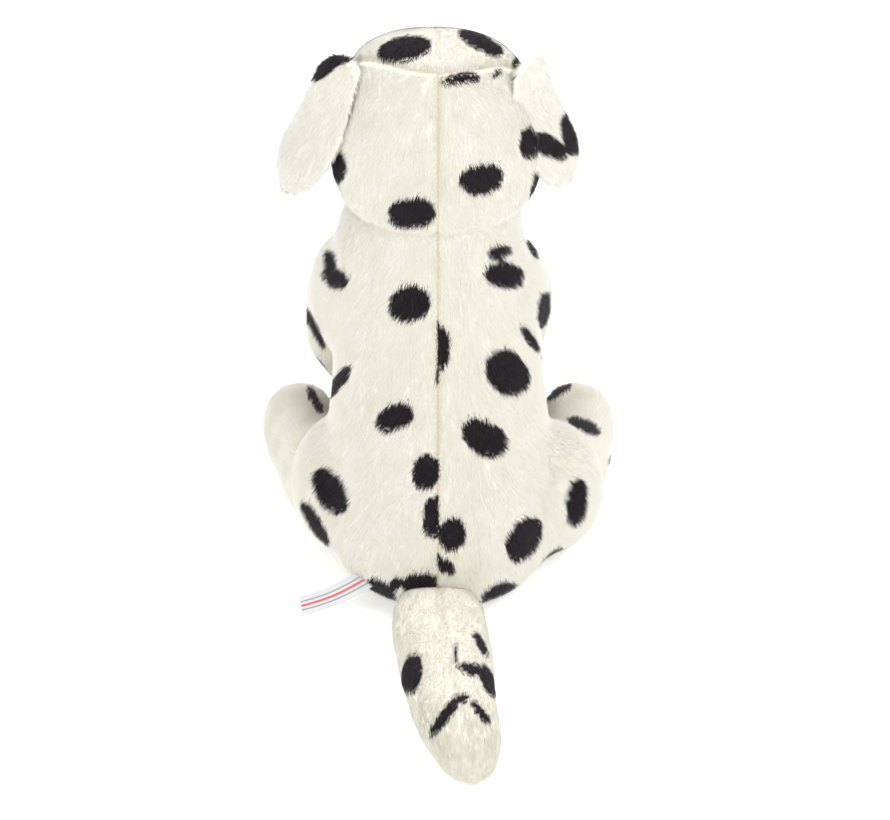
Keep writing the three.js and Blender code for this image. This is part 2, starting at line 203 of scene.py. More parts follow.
# centres and radii of balls on each side
HAUNCH = {"left": [(49, 12, 38.5), (30.5, 41, 37)], "right": [(57, 13, 36), (32.5, 42, 35)]}
SHOULDER = {"left": [(47, -19, 139), (22.5, 30, 36)], "right": [(37.5, -19, 139), (21, 30, 35)]}
SKULL = [  # z, centre x, centre y, half width, half depth
    [199, 0, -13, 41, 38], [204, 1, -13.5, 49, 43], [211, 1, -15, 54.5, 45.5], [222, 0, -17.5, 58, 48],
    [232, 0, -19, 58.8, 49.5], [241, 0, -19.5, 58, 49.5], [250, 0, -19.5, 55.6, 48.5],
    [262, 0, -19.5, 51.5, 45.5], [273, 1.5, -20, 48, 40], [282, 2.5, -20.5, 42, 31.5],
    [288, 2.5, -21, 33.5, 22], [291, 2.5, -21.5, 19, 11],
]
MUZZLE = [(0, -74, 230), (27, 38, 22)]
BRIDGE = [(0, -58, 238), (25, 30, 20)]  # between the muzzle and the forehead
CHEEK = [(28, -48, 228), (22, 22, 20)]
FRONT_LEG = [  # z, centre x, centre y, half width, half depth, before SHOULDER_OUT and ELBOW_OUT
    [1, 31, -82, 14, 22], [4, 31, -82, 18.5, 26.5], [14, 31, -81.5, 19.5, 27.5], [24, 31.5, -78, 18.8, 23],
    [42, 33, -71, 17.8, 18.6], [66, 37, -61, 18, 18.8], [86, 41, -51, 19.5, 20.5], [105, 44, -41, 21, 22.5],
    [124, 44, -33, 22.5, 24], [140, 43, -28, 21.5, 23.5], [151, 42, -25, 17, 19], [157, 41, -23, 8, 9],
]
HIND_LEG = [  # y, centre x, centre z, half width, half height
    [-76, 74, 24.8, 11, 14], [-74.5, 74, 24.8, 17, 19.5], [-70, 74.5, 24.8, 21, 22.6],
    [-60, 74.5, 24.8, 22.2, 23.6], [-45, 74, 25.5, 22.4, 24.6], [-30, 72.5, 27, 22, 26.2],
    [-14, 69.5, 28.4, 22, 27.8], [0, 66, 29, 20, 26],
]
HIP = [(68, -12, 29), (24, 29, 29)]
TAIL = [  # y, centre x, centre z, half width, half height
    [70, 0, 14.5, 15, 10], [77, 0, 14.5, 20, 12], [85, 0, 14.7, 24, 13.2], [92, 0, 15, 26, 13.8],
    [100, -0.5, 15.6, 27.2, 14.6], [115, -1, 17.6, 28.2, 17], [145, -3.5, 20.5, 27.8, 20.3],
    [180, -7, 21.5, 25.6, 21.3], [205, -11, 21.5, 23.5, 21], [220, -14.5, 20, 20, 19],
    [229, -16.5, 18.8, 16, 16], [236, -18, 18, 10, 10.5],
]
EAR = [  # out from the hinge, up, half width, half thickness
    [-4, 1.5, 11, 2.6], [0, 0, 15, 4], [4, -5, 19, 4.8], [8, -14, 22, 5], [12.5, -30, 24, 5.2],
    [19.5, -48, 25.5, 5.2], [26, -61, 24.5, 5], [30, -71, 20, 4.8], [32.5, -77.5, 13, 4.2], [33.5, -81, 5, 3],
]
EAR_HINGE, EAR_Y = (46.5, 282), -14
EAR_TWIST = math.radians(28)  # the rear edge of an ear lies nearer the head
EAR_HANG = {"left": (1.0, 0.95, 0), "right": (0.8, 0.88, -5)}  # scale out, scale down, shift out
SHOULDER_OUT = {"left": 4.5, "right": -4.5}
ELBOW_OUT = {"left": 10, "right": 0}
HIP_OUT = {"left": -5, "right": 0}
SIDES = {"left": 1, "right": -1}


def ear_form(side):
    rows = finer(EAR, 6)
    out, down, shift = EAR_HANG[side]
    middle = rows[:, :2] * [out, down] + EAR_HINGE
    middle[:, 0] += shift * np.clip(-rows[:, 1] / 14, 0, 1)
    along = unit(np.gradient(middle, axis=0))
    wide = np.array([-math.sin(EAR_TWIST), math.cos(EAR_TWIST), 0])
    angle = np.arange(48) / 48 * 2 * np.pi
    rings = []
    for m, a, (_, _, half, thick) in zip(middle, along, rows):
        half, thick = max(half - PILE, 1.2), max(thick - PILE * 0.8, 1.0)
        out = unit(np.cross([a[0], 0, a[1]], wide))
        # the panels meet in a thin edge, and the ear is cupped a little towards the head
        off = thick * np.sin(angle) * np.abs(np.sin(angle)) ** 0.3 - 2.0 * np.cos(angle) ** 2
        centre = np.array([m[0], EAR_Y, m[1]])
        rings.append(centre + np.outer(half * np.cos(angle), wide) + np.outer(off, out))
    return mirrored(closed(rings), SIDES[side])


def leg_form(side):
    rows = [list(r) for r in FRONT_LEG]
    for r in rows:
        r[1] += SHOULDER_OUT[side] * min(max((r[0] - 50) / 60, 0), 1)
        r[1] += ELBOW_OUT[side] * math.exp(-(((r[0] - 76) / 26) ** 2))
    return mirrored(stack(rows), SIDES[side])


def sleeve(side):
    """The torso's own cover over the top of a front leg, which it leaves gradually."""
    rows = []
    for z, x, y, half, deep in FRONT_LEG[7:]:
        over = np.interp(z, [105, 128], [-3.0, 1.2])
        rows.append([z, x + SHOULDER_OUT[side], y, half + over, deep + over])
    return mirrored(stack(rows), SIDES[side])


def hind_forms(side):
    rows = [list(r) for r in HIND_LEG]
    for r in rows:
        r[1] += HIP_OUT[side] * min(max((r[0] + 55) / 40, 0), 1)
    (x, y, z), radii = HIP
    hip = ball((x + HIP_OUT[side], y, z), radii)
    return [mirrored(form, SIDES[side]) for form in (stack(rows, axis=1), hip)]


# ---------------------------------------------------------------- spots
# As the camera sees them: a is millimetres to the dog's left, b millimetres up the view.
# Rows: a, b, half length, half width, turn of the length in degrees, and which side of the seam it is cut to.
BACK_SPOTS = {
    "head": [
        (13.1, 165.9, 12.6, 8.1, -4, 1), (-22.3, 183.7, 11.4, 8, -12, 0), (17.5, 250.6, 14, 6.2, -8, 0),
        (-22.3, 253.5, 12.5, 3.9, 25, 0), (-42.2, 244.1, 3.4, 4.1, 0, 0), (-11.8, 235.1, 10.4, 2.2, -8, -1),
        (-30.4, 238.2, 2.6, 1.4, -30, 0), (52.5, 190.6, 5.9, 8.5, 0, 0), (-46.7, 202.9, 5.6, 8.6, 0, 0),
        (-51.3, 183.2, 13, 2.6, -78, 0), (50.8, 165.1, 7, 1.4, 58, 0),
    ],
    "torso": [
        (14.9, 119.1, 10.4, 9.8, 0, 0), (52.4, 132.5, 7, 5.2, 30, 0), (55.1, 140.1, 3.1, 6.5, 0, 0),
        (-31.2, 146, 6.7, 3.8, -18, 0), (-33.5, 133.9, 10.8, 7, 8, 0), (-47.2, 147.4, 6, 1.5, 65, 0),
        (-54.1, 115.8, 9.7, 3.5, -83, 0), (-47, 100.5, 8.1, 2.5, 55, 0), (0.4, 96.3, 6.4, 12.7, 0, -1),
        (0.5, 80.3, 1, 4.7, 0, 0), (-34.9, 83.1, 12.7, 10.4, 48, 0), (51, 78.2, 10.7, 3.3, -54, 0),
        (62.6, 87.5, 8.5, 2.2, 55, 0), (64, 107, 12.5, 2.2, 68, 0), (-54.1, 91.9, 3.1, 1.3, -90, 0),
        (21.7, 59.8, 10.2, 6.8, -28, 0), (-23.2, 49.4, 12.5, 8.9, 32, 0), (5.7, 31.3, 7.1, 9.1, 0, 1),
        (55.1, 21, 12.7, 7.8, 62, 0), (63.4, 4.9, 13, 3.6, 60, 0), (-0.8, 7.8, 8.6, 11.4, 0, 1),
        (-7.3, -1, 7, 8.8, 0, -1), (-43.9, -3.6, 12.2, 8.3, -62, 0), (-71.4, 15.8, 12.5, 5.6, -85, 0),
        (-59.4, -14.3, 8.8, 3.6, -42, 0), (-31.4, -32.3, 10.3, 5.2, -25, 0), (-2.9, -17.2, 5.7, 3.9, 40, -1),
        (9.2, -26.6, 9.6, 5.7, -12, 0), (29.8, -30.2, 9.1, 5.2, 35, 0), (21.3, -26.8, 4.2, 3.1, -30, 0),
    ],
    "tail": [
        (13.5, -74.1, 10.7, 5.7, -82, 0), (-18, -72.4, 8.2, 3.3, 15, 0), (-25.8, -77.6, 8.8, 3.6, 68, 0),
        (-9.4, -65.5, 6.2, 0.8, 85, 0), (-21.9, -59, 6.9, 2.1, 62, 0), (-3.4, -96.1, 13, 3.1, -52, 0),
        (-12.8, -87.1, 3.6, 2.4, -10, 0), (-21.9, -94, 8.3, 2.2, 50, 0),
    ],
    "ear_left": [
        (56.5, 241.8, 10.7, 4, -38, 0), (51, 245.2, 5.2, 3.1, 0, 0),
    ],
    "ear_right": [
        (-56.7, 201, 10.7, 5.5, 30, 0), (-67.6, 206.9, 11.4, 4.5, 77, 0),
    ],
    "front_leg_left": [
        (52.4, 132.5, 7, 5.2, 30, 0), (55.1, 140.1, 3.1, 6.5, 0, 0), (64, 107, 12.5, 2.2, 68, 0),
        (62.6, 87.5, 8.5, 2.2, 55, 0), (64.4, 65.7, 7.8, 2.3, 63, 0),
    ],
    "front_leg_right": [
        (-54.1, 115.8, 9.7, 3.5, -83, 0), (-54.1, 91.9, 3.1, 1.3, -90, 0), (-47.2, 147.4, 6, 1.5, 65, 0),
    ],
    "hind_leg_left": [
        (64.4, 65.7, 7.8, 2.3, 63, 0),
    ],
    "hind_leg_right": [
        (-62.7, 70.1, 8.1, 2.9, -35, 0), (-75.3, 52.4, 8.8, 3.6, 20, 0), (-89.5, 34.6, 4.7, 2, -80, 0),
    ],
}
# On the sides that face away from the camera: centre and radius of a ball, mm.
FAR_SPOTS = {
    "head": [
        (17, -62, 272, 9), (-27, -46, 268, 10), (36, -48, 232, 8), (-33, -62, 230, 7), (-12, -88, 211, 6),
        (40, -28, 213, 7), (-38, -52, 216, 6), (46, -42, 250, 6), (-50, -30, 240, 8),
    ],
    "torso": [
        (8, -52, 172, 9), (-16, -50, 150, 8), (14, -49, 118, 10), (-10, -50, 88, 9), (9, -50, 52, 10),
        (-14, -46, 28, 8), (52, 4, 120, 8), (-52, 10, 128, 7), (80, 2, 42, 9), (-86, 4, 34, 8),
    ],
    "ear_left": [(80, -32, 226, 8), (66, -30, 256, 7), (78, -10, 206, 6)],
    "ear_right": [(-64, -34, 258, 7), (-72, -30, 222, 8)],
    "front_leg_left": [
        (45, -62, 96, 9), (30, -88, 52, 9), (40, -84, 70, 6), (22, -100, 22, 8), (48, -70, 30, 7),
    ],
    "front_leg_right": [
        (-40, -66, 90, 9), (-50, -55, 62, 7), (-28, -86, 66, 8), (-36, -104, 20, 9), (-46, -74, 26, 6),
    ],
    "hind_leg_left": [
        (91, -28, 34, 9), (88, -66, 46, 7), (92, -60, 18, 6), (66, -83, 36, 7), (60, -44, 48, 6),
    ],
    "hind_leg_right": [
        (-92, -20, 30, 8), (-86, -76, 42, 7), (-76, -84, 30, 7), (-91, -52, 18, 6), (-58, -56, 46, 6),
    ],
    "tail": [(24, 140, 16, 7), (-29, 165, 14, 7), (-30, 208, 16, 6), (12, 190, 8, 6)],
}


def is_dark(part, p, n, ragged=1.0):
    """True where the pile is black, at surface points p with normals n."""
    d = p - LOOK_AT
    nearer = DISTANCE / (DISTANCE - d @ TOWARDS)
    a = LOOK_AT[0] + d[:, 0] * nearer
    b = LOOK_AT @ UP + (d @ UP) * nearer
    edge = 1 + ragged * (0.22 * (noise(p, 2.2, 3) - 0.5) + 0.3 * (noise(p, 8.0, 5) - 0.5))
    dark = np.zeros(len(p), bool)
    for ca, cb, ra, rb, turn, half in BACK_SPOTS.get(part, ()):
        t = math.radians(turn)
        u, v = a - ca, b - cb
        u, v = u * math.cos(t) + v * math.sin(t), v * math.cos(t) - u * math.sin(t)
        inside = (np.abs(u / ra) ** 2.2 + np.abs(v / rb) ** 2.2 < edge) & (n @ TOWARDS > 0.02)
        if half:
            inside &= p[:, 0] * half > -0.2
        if part == "head":
            inside &= p[:, 1] > -48  # the muzzle is hidden behind the crown
        dark |= inside
    for x, y, z, r in FAR_SPOTS.get(part, ()):
        inside = ((p - [x, y, z]) ** 2).sum(1) < (r * edge) ** 2
        dark |= inside & (n @ TOWARDS < -0.05)
    return dark


# ---------------------------------------------------------------- materials
def fabric(name, color, rough=0.9, sheen=0.3):
    m = bpy.data.materials.new(name)
    m.use_nodes = True
    bsdf = m.node_tree.nodes["Principled BSDF"]
    bsdf.inputs["Base Color"].default_value = (*color, 1)
    bsdf.inputs["Roughness"].default_value = rough
    bsdf.inputs["Sheen Weight"].default_value = sheen
    bsdf.inputs["Specular IOR Level"].default_value = 0.2
    return m


WHITES = [
    fabric("pile_white", (0.97, 0.95, 0.86)),
    fabric("pile_cream", (0.95, 0.925, 0.81)),
    # the darkest white serves both for random tone and as painted shade beside the seams and on the tail
    fabric("pile_dim_and_painted_shade", (0.88, 0.845, 0.71)),
]
BLACKS = [
    fabric("pile_black", (0.006, 0.004, 0.006), 0.6, 0.05),
    fabric("pile_soot", (0.02, 0.015, 0.02), 0.6, 0.05),
]


def backing_material():
    """The knitted backing under the pile, with the same spots from the skin's own attribute."""
    m = bpy.data.materials.new("backing")
    m.use_nodes = True
    nodes, links = m.node_tree.nodes, m.node_tree.links
    bsdf = nodes["Principled BSDF"]
    bsdf.inputs["Roughness"].default_value = 0.95
    spots = nodes.new("ShaderNodeAttribute")
    spots.attribute_name = "spots"
    grain = nodes.new("ShaderNodeTexNoise")
    grain.inputs["Scale"].default_value = 900
    # partly the knit's own pale colour, partly painted shade: it is kept darker than the pile's whites, since
    # bare backing gets none of the pile's self-shadowing
    pale = nodes.new("ShaderNodeMix")
    pale.data_type = "RGBA"
    pale.inputs["A"].default_value = (0.86, 0.82, 0.70, 1)
    pale.inputs["B"].default_value = (0.90, 0.87, 0.77, 1)
    links.new(grain.outputs["Fac"], pale.inputs["Factor"])
    # bare backing shows warm along the seams: partly the backing's own colour, partly painted shade in the
    # seam's groove
    seam = nodes.new("ShaderNodeAttribute")
    seam.attribute_name = "seam"
    warm = nodes.new("ShaderNodeMix")
    warm.data_type = "RGBA"
    warm.inputs["B"].default_value = (0.66, 0.57, 0.40, 1)
    links.new(seam.outputs["Fac"], warm.inputs["Factor"])
    links.new(pale.outputs["Result"], warm.inputs["A"])
    mix = nodes.new("ShaderNodeMix")
    mix.data_type = "RGBA"
    mix.inputs["B"].default_value = (0.02, 0.016, 0.02, 1)
    links.new(spots.outputs["Fac"], mix.inputs["Factor"])
    links.new(warm.outputs["Result"], mix.inputs["A"])
    links.new(mix.outputs["Result"], bsdf.inputs["Base Color"])
    return m


BACKING = backing_material()

# ---------------------------------------------------------------- pile
rng = np.random.default_rng(11)
DENSITY = 3.0  # fibres per square millimetre
MOST = 60000  # fibres in one piece of pile
PARTING = 0.15  # bare strip on each side of a seam, mm
FLOOR_GAP = 0.6  # of a skin above the floor, mm


def scattered(mesh):
    """Random points over a mesh, evenly by area, and the mesh's normals there."""
    mesh.calc_loop_triangles()
    tri = np.empty(len(mesh.loop_triangles) * 3, np.int32)
    mesh.loop_triangles.foreach_get("vertices", tri)
    tri = tri.reshape(-1, 3)
    co, nor = points_of(mesh), normals_of(mesh)
    a, b, c = (co[tri[:, k]] for k in range(3))
    area = np.linalg.norm(np.cross(b - a, c - a), axis=1) / 2
    count = int(area.sum() * DENSITY)
    pick = rng.choice(len(tri), count, p=area / area.sum())
    u, v = rng.random(count), rng.random(count)
    over = u + v > 1
    u[over], v[over] = 1 - u[over], 1 - v[over]
    w = np.stack([1 - u - v, u, v], axis=1)[:, :, None]
    return (co[tri[pick]] * w).sum(1), unit((nor[tri[pick]] * w).sum(1))


def combed(root, n, comb):
    """The direction of each fibre: along the comb, ruffled, and raised off the skin."""
    # tufts lean together: slow noise turns the comb direction, fast noise ruffles single fibres
    flow = unit(comb(root, n))
    calm = 1 - 0.85 * np.clip(flow @ TOWARDS, 0, 1)[:, None]
    wander = np.stack([noise(root, 7.0, s) for s in (1, 2, 4)], axis=1) - 0.5
    ruffle = rng.normal(size=root.shape)
    flow = flow + calm * (0.5 * wander + 0.16 * ruffle)
    flow = unit(flow - (flow * n).sum(1, keepdims=True) * n)
    # where the tips point at the camera the pile lies flatter, or it would show its dark underside
    ragged = 0.14 * (noise(root, 6.0, 8) - 0.5) + 0.07 * rng.normal(size=len(root))
    rise = np.clip(0.5 - 0.36 * np.clip(flow @ TOWARDS, 0, 1) + calm[:, 0] * ragged, 0.06, 1.1)
    return unit(flow + n * rise[:, None])


def needles(root, n, out, size):
    """Four points of each fibre: a triangle just under the skin, and the tip."""
    tip = root + out * size[:, None] - n * (0.10 * size)[:, None]
    tip[:, 2] = np.maximum(tip[:, 2], 0.3)
    start = root - n * 0.4
    start[:, 2] = np.maximum(start[:, 2], 0.2)
    side = unit(np.cross(out, n))
    up = np.cross(side, out)
    r = (0.19 + 0.06 * rng.random(len(root)))[:, None]
    verts = np.empty((len(root), 4, 3))
    for k, (wide, high) in enumerate(((0, 0.45), (0.87, -0.25), (-0.87, -0.25))):
        verts[:, k] = start + r * (wide * side + high * up)
    verts[:, 3] = tip
    return verts


def pile(part, skin, comb, seams=(), length=4.6, bare=None, tone=0.0):
    """Short fibres of real geometry over a skin, combed along comb(p, n) and parted at the seams."""
    root, n = scattered(skin.data)
    near = nearest(seams, root)
    keep = ~((root[:, 2] < 1.6) & (n[:, 2] < -0.5)) & (near > PARTING)
    if bare is not None:
        keep &= ~bare(root)
    root, n, near = root[keep], n[keep], near[keep]
    count = len(root)

    out = combed(root, n, comb)
    size = length * (0.75 + 0.4 * rng.random(count)) * np.clip(0.4 + near / 3.5, 0.4, 1)
    verts = needles(root, n, out, size)

    # white fibres are darker beside a seam, as painted shade in the seam's groove, and darker all over by the
    # tone; the rest of the spread is random tone
    dark = is_dark(part, root + rng.normal(size=(count, 3)) * 0.25, n)
    shade = noise(root, 11.0, 9) + 0.35 * rng.random(count) + 0.7 * np.exp(-((near / 2.2) ** 2)) + tone
    slot = np.where(dark, 3 + (rng.random(count) < 0.3), np.digitize(shade, [0.5, 1.1]))

    # the pile is lit as a soft surface: a fibre has nearly the skin's normal, and leans to its own at the tip
    lit = np.repeat((n + 0.12 * rng.normal(size=(count, 3)))[:, None], 4, axis=1)
    lit[:, 3] += 0.5 * out
    lit = unit(lit)

    # bands from the floor up, each a piece of its own
    order = np.argsort(root[:, 2], kind="stable")
    bands = np.array_split(order, math.ceil(count / MOST))
    print("pile", part, count)
    return [fibres(f"{part}_pile_{i}", verts[band], slot[band], lit[band]) for i, band in enumerate(bands)]


def fibres(name, verts, slot, lit):
    """One mesh of needles, each of three faces from a triangle of root points to a tip."""
    count = len(verts)
    base = (np.arange(count) * 4)[:, None, None]
    faces = base + np.array([[0, 1, 3], [1, 2, 3], [2, 0, 3]])[None]
    mesh = bpy.data.meshes.new(name)
    mesh.vertices.add(count * 4)
    mesh.vertices.foreach_set("co", (verts * MM).astype(np.float32).ravel())
    mesh.loops.add(count * 9)
    mesh.loops.foreach_set("vertex_index", faces.astype(np.int32).ravel())
    mesh.polygons.add(count * 3)
    mesh.polygons.foreach_set("loop_start", np.arange(count * 3, dtype=np.int32) * 3)
    mesh.polygons.foreach_set("material_index", np.repeat(slot, 3).astype(np.int32))
    for m in WHITES + BLACKS:
        mesh.materials.append(m)
    mesh.update()
    mesh.polygons.foreach_set("use_smooth", np.ones(count * 3, bool))
    mesh.normals_split_custom_set_from_vertices(lit.reshape(-1, 3))
    obj = bpy.data.objects.new(name, mesh)
    bpy.context.scene.collection.objects.link(obj)
    return obj


def nearest(seams, p):
    """Distance of each point from the nearest seam, mm."""
    near = np.full(len(p), 99.0)
    for seam in seams:
        near = np.minimum(near, seam(p))
    return near


def paint(part, skin, seams):
    """Marks the skin's dark vertices and its seams, and gives it the backing material."""
    mesh = skin.data
    p = points_of(mesh)
    # the seam mark carries the backing's warm colour and its painted shade along the seams
    marks = {"spots": is_dark(part, p, normals_of(mesh)), "seam": np.exp(-((nearest(seams, p) / 1.8) ** 2))}
    for name, values in marks.items():
        mesh.attributes.new(name, "FLOAT", "POINT").data.foreach_set("value", values.astype(np.float32))
    mesh.materials.clear()
    mesh.materials.append(BACKING)
    mesh.polygons.foreach_set("use_smooth", np.ones(len(mesh.polygons), bool))


CELL, SWELL = 4.5, 2.4  # of the simulated cloth: size of its mesh and how far it may move, mm
PRESSURE, STEPS = 4, 20  # of the filling on the cloth, and frames of simulation


def plumped(skin, seams, hold):
    """Blender's Cloth puffs the cover's panels out between the seams, which are held, as filling does."""
    scene = bpy.context.scene
    even = skin.modifiers.new("even", "REMESH")
    even.mode, even.voxel_size = "VOXEL", CELL * MM
    applied(skin)
    start = points_of(skin.data)
    start[:, 2] = np.maximum(start[:, 2], FLOOR_GAP)
    put_points(skin.data, start)
    held = np.maximum(np.exp(-((nearest(seams, start) / 5) ** 2)), (start[:, 2] < 4) | hold(start))
    group = skin.vertex_groups.new(name="held")
    for i, weight in enumerate(held):
        group.add([i], float(weight), "REPLACE")
    cloth = skin.modifiers.new("filling", "CLOTH").settings
    cloth.use_pressure, cloth.uniform_pressure_force, cloth.mass = True, PRESSURE, 0.01
    cloth.vertex_group_mass = "held"
    cloth.effector_weights.gravity = 0
    for step in range(1, STEPS + 1):
        scene.frame_set(step)
    applied(skin)
    scene.frame_set(1)
    move = points_of(skin.data) - start
    far = np.linalg.norm(move, axis=1, keepdims=True)
    print("cloth", skin.name, len(start), "moved", far.mean().round(2), far.max().round(2))
    put_points(skin.data, start + move * np.minimum(1, SWELL / np.maximum(far, 1e-6)))
    skin.vertex_groups.clear()
    even = skin.modifiers.new("even", "SMOOTH")
    even.factor, even.iterations = 0.5, 2
    skin.modifiers.new("finer", "SUBSURF").levels = 1
    return applied(skin)


def groove(skin, seams, depth=1.5, width=2.4):
    """Presses the seams into the skin and keeps it above the floor."""
    p, n = points_of(skin.data), normals_of(skin.data)
    near = nearest(seams, p)
    p -= n * (depth * np.exp(-((near / width) ** 2)))[:, None]
    p[:, 2] = np.maximum(p[:, 2], FLOOR_GAP)
    put_points(skin.data, p)


# ---------------------------------------------------------------- body
def seam_centre(p):
    return np.where(p[:, 1] > 0, np.abs(p[:, 0]), 99)


def seam_crown(p):
    """From ear to ear over the top of the head, bowed forward at its ends."""
    bow = -0.011 * p[:, 0] ** 2
    return np.where(p[:, 2] > 235, np.abs(p[:, 1] - bow), 99)


def seam_neck(p):
    return np.abs(p[:, 2] - 202.5)


def seam_tail(p):
    mid = np.interp(p[:, 1], [r[0] for r in TAIL], [r[1] for r in TAIL])
    return np.where(p[:, 2] > 16, np.abs(p[:, 0] - mid), 99)


NOSE_BRIDGE = np.array([0, -108, 252])  # the pile of the head runs away from here


def comb_down(p, n):
    return np.stack([0.12 * np.sign(p[:, 0]), np.zeros(len(p)), -np.ones(len(p))], axis=1)


def comb_head(p, n):
    """Back over the crown, then down behind the crown seam."""
    behind = np.clip((p[:, 1] + 2) / 6, 0, 1)[:, None]
    return unit(p - NOSE_BRIDGE) * (1 - behind) + comb_down(p, n) * behind


def comb_back(p, n):
    """Along the tail, and down over its tip."""
    down = -0.15 - 1.2 * np.clip((p[:, 1] - 212) / 20, 0, 1)
    return np.stack([np.zeros(len(p)), np.ones(len(p)), down], axis=1)


def comb_forward(p, n):
    return np.tile([0.0, -1.0, -0.35], (len(p), 1))


def nowhere(p):
    return np.zeros(len(p), bool)


def member(part, forms, comb, nodes, body, seams=(), blend=None, voxel=2.6, smooth=10, length=4.6,
           bare=None, folds=(), hold=nowhere, filled=True, tone=0.0):
    """One cloth member: its skin, its pile and what they ride on. Folds are seams that the pile covers."""
    skin = fused(part + "_skin", forms, voxel, smooth)
    if filled:
        plumped(skin, [*seams, *folds], hold)
    groove(skin, [*seams, *folds])
    paint(part, skin, seams)
    for obj in [skin, *pile(part, skin, comb, seams, length, bare, tone)]:
        if blend:
            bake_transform(obj)
        else:
            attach(obj, body)
    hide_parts(*nodes)


def at(z):
    """The point at that height on the neck's axis, m."""
    return (0, -12 * MM, z * MM)


def by_face(p):
    """The muzzle and the front of the face, where the eyes, the nose and the mouth are fastened."""
    return p[:, 1] < -56


# the face: eyes, nose and mouth
EYE = [(24, -62.3, 255), (6, 6, 6)]
NOSE = [(0, -110.2, 236), (10.5, 6.5, 7.5)]
MOUTH = finer([(-14, 225), (-9, 221.2), (-4, 221.5), (0, 224.5), (4, 221.5), (9, 221.2), (14, 225)], 8)


def on_muzzle(x, z, deep=1.2):
    """Points on the front of the muzzle, sunk into it by that much."""
    (_, cy, cz), (rx, ry, rz) = MUZZLE
    return np.stack([x, cy - ry * np.sqrt(1 - (x / rx) ** 2 - ((z - cz) / rz) ** 2) + deep, z], axis=-1)


MOUTH_LINE = on_muzzle(MOUTH[:, 0], MOUTH[:, 1])


def off_face(p):
    """True where the face's own parts leave no room for pile."""
    out = np.zeros(len(p), bool)
    (x, y, z), (r, _, _) = EYE
    for k in SIDES.values():
        out |= np.linalg.norm(p - (k * x, y, z), axis=1) < r + 1.2
    out |= (((p - NOSE[0]) / (np.array(NOSE[1]) + 1.6)) ** 2).sum(1) < 1
    return out | (np.linalg.norm(p[:, None] - MOUTH_LINE[None, ::3], axis=2).min(1) < 1.9)


def both(form):
    """A form on the dog's left and its mirror image on the right."""
    return [mirrored(form, k) for k in SIDES.values()]


bulges = [mirrored(ball(*where[side]), SIDES[side]) for side in SIDES for where in (HAUNCH, SHOULDER)]
member(
    "torso", [stack(TORSO, power=2.08), *bulges, *(sleeve(side) for side in SIDES)], comb_down,
    ["torso_back_left", "torso_back_right", "torso_chest", "torso_seat", "torso_filling", "pellet_bag",
     "neck_collar", "neck_filling"],
    "torso", [seam_centre], ("torso", "neck", at(172), at(199)), smooth=14, folds=[seam_neck],
)
member(
    "head", [stack(SKULL, power=2.1), ball(*MUZZLE), ball(*BRIDGE), *both(ball(*CHEEK))], comb_head,
    ["head_back_left", "head_back_right", "forehead", "cheek_left", "cheek_right", "chin", "head_filling",
     "eye_washer_left", "eye_washer_right", "nose_washer"],
    "head", [seam_centre, seam_crown], ("neck", "head", at(201), at(224)), smooth=8, bare=off_face,
    folds=[seam_neck], hold=by_face,
)
for side in SIDES:
    ear, front, hind = f"ear_{side}", f"front_leg_{side}", f"hind_leg_{side}"
    member(
        ear, [ear_form(side)], comb_down, [f"{ear}_outer", f"{ear}_inner"], ear,
        voxel=1.4, smooth=3, length=4.2, filled=False, tone=-0.6,
    )
    member(
        front, [leg_form(side)], comb_down,
        [f"{front}_outer", f"{front}_inner", f"{front}_filling", f"front_sole_{side}"], front,
    )
    member(
        hind, hind_forms(side), comb_forward,
        [f"{hind}_outer", f"{hind}_inner", f"{hind}_filling", f"hind_sole_{side}"], hind, tone=0.3,
    )
# the tail's tone paints its pile darker: painted shade on a top that faces the key light
member(
    "tail", [stack(TAIL, axis=1)], comb_back, ["tail_left", "tail_right", "tail_filling"], "tail",
    folds=[seam_tail], tone=0.9,
)


# ---------------------------------------------------------------- face and ribbon
def gloss(name, color, rough, coat):
    m = fabric(name, color, rough, 0)
    bsdf = m.node_tree.nodes["Principled BSDF"]
    bsdf.inputs["Specular IOR Level"].default_value = 0.5
    bsdf.inputs["Coat Weight"].default_value = coat
    return m


PLASTIC = gloss("black_plastic", (0.008, 0.006, 0.007), 0.12, 0.6)
THREAD = gloss("thread", (0.02, 0.016, 0.02), 0.55, 0)
# partly the ribbon's own pale colour, partly painted shade: the satin is set a mid grey
SATIN = gloss("satin", (0.63, 0.63, 0.64), 0.35, 0.1)
RED = gloss("red_thread", (0.62, 0.10, 0.11), 0.4, 0)
GREY = gloss("grey_thread", (0.30, 0.30, 0.33), 0.4, 0)


def firm(name, form, node, body, materials):
    """A firm piece in the place of one CAD node."""
    obj = mesh_of(name, *form)
    for m in materials:
        obj.data.materials.append(m)
    obj.data.polygons.foreach_set("use_smooth", np.ones(len(obj.data.polygons), bool))
    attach(obj, body)
    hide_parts(node)
    return obj


def tube(line, r, points=10):
    """A closed tube along a line of points, rounded off at its ends."""
    along = unit(np.gradient(line, axis=0))
    rings = []
    for i, (p, a) in enumerate(zip(line, along)):
        side = unit(np.cross(a, [0, 1, 0]))
        up = np.cross(side, a)
        t = np.arange(points) / points * 2 * np.pi
        end = min(i, len(line) - 1 - i)
        ring = np.outer(np.cos(t), side) + np.outer(np.sin(t), up)
        rings.append(p + r * min(1, 0.55 + 0.2 * end) * ring)
    return closed(rings)


